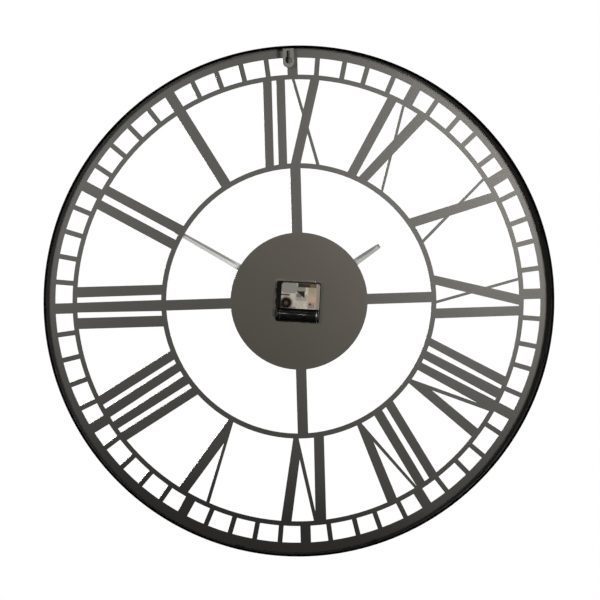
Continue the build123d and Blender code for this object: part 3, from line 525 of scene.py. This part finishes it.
def bead_mesh(bm, frame_at, length, leg, rng, ripples, mid=0.40, half=0.52):
    """One weld bead: overlapping ripples swept along a path. frame_at(s) gives the corner point and the two leg directions."""
    steps = ripples * 6
    around = 14
    rings = []
    for i in range(steps + 1):
        t = i / steps
        s = (t - 0.5) * length
        end = max(0.0, 1 - abs(2 * t - 1) ** 5) ** 0.5
        phase = (t * ripples) % 1.0
        crest = 1.0 - 0.16 * (1 - math.sin(math.pi * min(1.0, phase * 1.15)) ** 0.7)
        jig = 1.0 + 0.07 * math.sin(7.3 * t * ripples / 3 + rng)
        size = max(0.04, end) * crest * jig * leg
        c, d1, d2, fwd = frame_at(s)
        ring = []
        for k in range(around):
            a = 2 * math.pi * k / around
            # an oval in the corner: most of it stands proud between the legs, the rest sinks into the two plates
            u, v = mid + half * math.cos(a), mid + half * math.sin(a)
            lag = -0.22 * leg * (max(0.0, u) + max(0.0, v) - 2 * mid) * 0.6
            ring.append(bm.verts.new(c + d1 * (u * size) + d2 * (v * size) + fwd * lag))
        rings.append(ring)
    for i in range(steps):
        for k in range(around):
            bm.faces.new((rings[i][k], rings[i][(k + 1) % around], rings[i + 1][(k + 1) % around], rings[i + 1][k]))
    bm.faces.new(rings[0][::-1])
    bm.faces.new(rings[-1])


def tack_welds():
    bm = bmesh.new()
    rng = random.Random(12)
    for i in range(12):
        mid = math.radians(15 + 30 * i) + rng.uniform(-0.006, 0.006)
        length = 15.0 * rng.uniform(0.84, 1.0)

        def at(s, mid=mid):
            a = mid + s / HOOP_IN_R
            out = Vector((math.sin(a), 0, math.cos(a)))
            return out * (HOOP_IN_R * MM) + Vector((0, PLATE_REAR_Y * MM, 0)), -out, Vector((0, 1, 0)), Vector((math.cos(a), 0, -math.sin(a)))

        bead_mesh_scaled(bm, at, length, 2.5 * rng.uniform(0.92, 1.0), rng.uniform(0, 6), rng.choice((9, 10, 11)))
    bmesh.ops.recalc_face_normals(bm, faces=bm.faces)
    return mesh_object("hoop_tack_beads", bm, M["dial_steel"], sharp=70)


def bead_mesh_scaled(bm, at, length, leg, seed, ripples, mid=0.40, half=0.52):
    def in_m(s):
        c, d1, d2, fwd = at(s)
        return c, d1 * MM, d2 * MM, fwd * MM
    bead_mesh(bm, in_m, length, leg, seed, ripples, mid, half)


def hanger_weld():
    """The bead that joins the tab's front face to the hoop's roll."""
    bm = bmesh.new()
    centre = math.asin(TAB_X / BEAD_IN_R)

    def at(s):
        a = centre + s / BEAD_IN_R
        out = Vector((math.sin(a), 0, math.cos(a)))
        return out * (BEAD_IN_R * MM) + Vector((0, TAB_FRONT_Y * MM, 0)), -out, Vector((0, -1, 0)), Vector((math.cos(a), 0, -math.sin(a)))

    bead_mesh_scaled(bm, at, TAB_W - 1.8, 1.9, 2.0, 9, mid=0.22, half=0.72)
    bmesh.ops.recalc_face_normals(bm, faces=bm.faces)
    return mesh_object("hanger_weld", bm, M["tab_steel"], sharp=70)


def coil():
    """Fine wire laid in close turns between the bobbin's cheeks, in slightly uneven layers."""
    x0, x1, y0, z0 = -19.38, -10.62, 4.7, 18.0
    turns, per, around = 36, 6, 40
    bm = bmesh.new()
    rows = []
    n = turns * per
    for i in range(n + 1):
        t = i / n
        x = x0 + (x1 - x0) * t
        wave = math.cos(2 * math.pi * t * turns)
        r = 3.02 + 0.07 * wave - 0.05 * (1 + math.sin(5.1 * t + 0.7))
        row = []
        for k in range(around):
            a = 2 * math.pi * k / around
            row.append(bm.verts.new((x * MM, (y0 + r * math.cos(a)) * MM, (z0 + r * math.sin(a)) * MM)))
        rows.append(row)
    for i in range(n):
        for k in range(around):
            bm.faces.new((rows[i][k], rows[i][(k + 1) % around], rows[i + 1][(k + 1) % around], rows[i + 1][k]))
    # the window for the bobbin's tube closes each end as a ring
    for row, flip in ((rows[0], True), (rows[-1], False)):
        inner = []
        for k in range(around):
            a = 2 * math.pi * k / around
            inner.append(bm.verts.new((row[k].co.x, (y0 + 1.02 * math.cos(a)) * MM, (z0 + 1.02 * math.sin(a)) * MM)))
        for k in range(around):
            f = (row[k], row[(k + 1) % around], inner[(k + 1) % around], inner[k])
            bm.faces.new(f[::-1] if flip else f)
        row_in = inner
        if flip:
            first = row_in
        else:
            for k in range(around):
                bm.faces.new((first[k], first[(k + 1) % around], row_in[(k + 1) % around], row_in[k]))
    bmesh.ops.recalc_face_normals(bm, faces=bm.faces)
    bmesh.ops.rotate(bm, verts=bm.verts, cent=(0, 0, 0), matrix=Matrix.Rotation(CASE_TURN, 3, "Y"))
    return mesh_object("coil_turns", bm, M["copper"], sharp=60)


ring_piece = hoop()
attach(ring_piece, "clock_frame")
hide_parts("rim_hoop")
welds = tack_welds()
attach(welds, "clock_frame")
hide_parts("rim_tack_welds")
hang_bead = hanger_weld()
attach(hang_bead, "clock_frame")
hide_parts("hanger_weld_bead")
turns_piece = coil()
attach(turns_piece, "clock_frame")
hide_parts("coil_winding")

# ---------------------------------------------------------------- floor, light and camera
scene.view_settings.view_transform = "Standard"
scene.view_settings.look = "None"
scene.view_settings.exposure = 0.0
scene.view_settings.gamma = 1.0


def floor():
    bm = bmesh.new()
    rings = [0.0, 0.6, 1.2, 1.8, 2.4, 3.0, 3.4]
    n = 96
    centre = bm.verts.new((0, 0, -1.0))
    last = None
    for r in rings[1:]:
        row = [bm.verts.new((r * math.cos(2 * math.pi * i / n), r * math.sin(2 * math.pi * i / n), -1.0)) for i in range(n)]
        for i in range(n):
            if last is None:
                bm.faces.new((centre, row[i], row[(i + 1) % n]))
            else:
                bm.faces.new((last[i], row[i], row[(i + 1) % n], last[(i + 1) % n]))
        last = row
    g = Mat("pale_floor", base=(0.86, 0.86, 0.85), roughness=0.9)
    g.color(g.mix(g.band(g.noise(3.0, 3.0), 0.3, 0.7), (0.84, 0.84, 0.83), (0.88, 0.88, 0.87)))
    g.b.inputs["Specular IOR Level"].default_value = 0.1
    x, y, _ = g.xyz()
    away = g.math("SQRT", g.math("ADD", g.math("MULTIPLY", x, x), g.math("MULTIPLY", y, y)))
    g.b.inputs["Emission Color"].default_value = (0.97, 0.97, 0.96, 1)
    g.put(g.b, "Emission Strength", g.band(away, 1.0, 3.2, 0.42, 0.95))
    ob = mesh_object("floor", bm, g.m)
    ob.visible_diffuse = False
    ob.visible_glossy = False


floor()

world = bpy.data.worlds.new("studio")
scene.world = world
world.use_nodes = True
wt = world.node_tree
wt.nodes.clear()
wo = wt.nodes.new("ShaderNodeOutputWorld")
seen, lit = wt.nodes.new("ShaderNodeBackground"), wt.nodes.new("ShaderNodeBackground")
seen.inputs[0].default_value = (1, 1, 1, 1)
seen.inputs[1].default_value = 1.0
lit.inputs[0].default_value = (1, 1, 1, 1)
WORLD = 0.03
lit.inputs[1].default_value = WORLD
lp = wt.nodes.new("ShaderNodeLightPath")
mx = wt.nodes.new("ShaderNodeMixShader")
wt.links.new(lp.outputs["Is Camera Ray"], mx.inputs[0])
wt.links.new(lit.outputs[0], mx.inputs[1])
wt.links.new(seen.outputs[0], mx.inputs[2])
wt.links.new(mx.outputs[0], wo.inputs[0])

# Soft boxes: name, place, what it faces, width, height, power in watts, colour.
LIGHTS = [
    ("key_box", (-0.88, 3.40, 0.20), (0, 0, 0), 0.36, 0.50, 36.0, (1.0, 0.990, 0.965)),
    ("fill_box", (0.84, 3.40, 0.42), (0, 0, 0), 0.36, 0.36, 36.5, (1.0, 0.990, 0.965)),
    ("top_box", (0.0, 0.3, 2.2), (0, 0, 0), 2.4, 2.4, 30.0, (1.0, 1.0, 1.0)),
    ("rear_side_box", (-2.75, 2.95, -0.05), (0, 0, 0), 1.2, 1.7, 16.0, (1.0, 1.0, 1.0)),
    ("rear_far_box", (2.75, 2.95, -0.05), (0, 0, 0), 1.2, 1.7, 16.0, (1.0, 1.0, 1.0)),
    ("front_side_box", (-2.75, -2.95, 0.0), (0, 0, 0), 1.2, 1.7, 15.0, (1.0, 1.0, 1.0)),
    ("front_side_far_box", (2.75, -2.95, 0.0), (0, 0, 0), 1.2, 1.7, 15.0, (1.0, 1.0, 1.0)),
    ("side_box", (3.1, 0.15, 1.25), (0, 0, 0), 1.0, 1.8, 34.0, (1.0, 1.0, 1.0)),
    ("side_far_box", (-3.1, 0.15, 1.25), (0, 0, 0), 1.0, 1.8, 34.0, (1.0, 1.0, 1.0)),
    ("front_key", (1.5, -2.5, 1.8), (0, 0, 0), 1.1, 1.1, 34.0, (1.0, 0.99, 0.97)),
    ("front_fill", (-1.9, -2.3, 1.1), (0, 0, 0), 1.3, 1.3, 24.0, (1.0, 1.0, 1.0)),
    ("front_box", (0.75, -3.40, 0.10), (0, 0, 0), 0.5, 0.7, 28.0, (1.0, 0.995, 0.985)),
    ("front_far_box", (-0.95, -3.40, -0.20), (0, 0, 0), 0.5, 0.7, 16.0, (1.0, 0.995, 0.985)),
]
# The gloss hoop mirrors the rear boxes as hard spots, so they are kept off it.
kept_off = bpy.data.collections.new("kept_off_rear_boxes")
for ob in (ring_piece,):
    kept_off.objects.link(ob)
for item in kept_off.collection_objects:
    item.light_linking.link_state = "EXCLUDE"
# The case's own edge shadow from the key box is left out, as a large soft source would wash it away.
no_block = bpy.data.collections.new("kept_from_blocking")
for name in ("movement_case", "movement_front_cover", "movement_label", "setting_knob", "battery_cell", "battery_sleeve"):
    if name in nodes:
        no_block.objects.link(nodes[name])
for item in no_block.collection_objects:
    item.light_linking.link_state = "EXCLUDE"
for name, at, to, w, h, power, col in LIGHTS:
    d = bpy.data.lights.new(name, "AREA")
    d.shape = "RECTANGLE"
    d.size, d.size_y = w, h
    d.energy = power
    d.color = col
    ob = bpy.data.objects.new(name, d)
    scene.collection.objects.link(ob)
    ob.location = at
    ob.rotation_mode = "QUATERNION"
    ob.rotation_quaternion = (Vector(to) - Vector(at)).to_track_quat("-Z", "Y")
    ob.visible_camera = False
    if name in ("key_box", "fill_box", "front_box", "front_far_box"):
        ob.light_linking.receiver_collection = kept_off
    if name == "key_box":
        ob.light_linking.blocker_collection = no_block

cam_data = bpy.data.cameras.new("camera")
cam = bpy.data.objects.new("camera", cam_data)
scene.collection.objects.link(cam)
cam_data.sensor_width = 36.0
cam_data.lens = 168.0
cam_data.clip_start, cam_data.clip_end = 0.05, 60.0
rot = (Matrix.Rotation(math.radians(2.761), 3, "X") @ Matrix.Rotation(math.radians(-3.327), 3, "Y")
       @ Matrix.Rotation(math.radians(-1.657), 3, "Z"))
rows = [Vector((-r[0], -r[2], -r[1])) for r in rot]      # camera right, down, forward in the part's frame
basis = Matrix((rows[0], -rows[1], -rows[2])).transposed()
cam.matrix_world = Matrix.Translation((0.1967, 3.4805, 0.1757)) @ basis.to_4x4()
scene.camera = cam
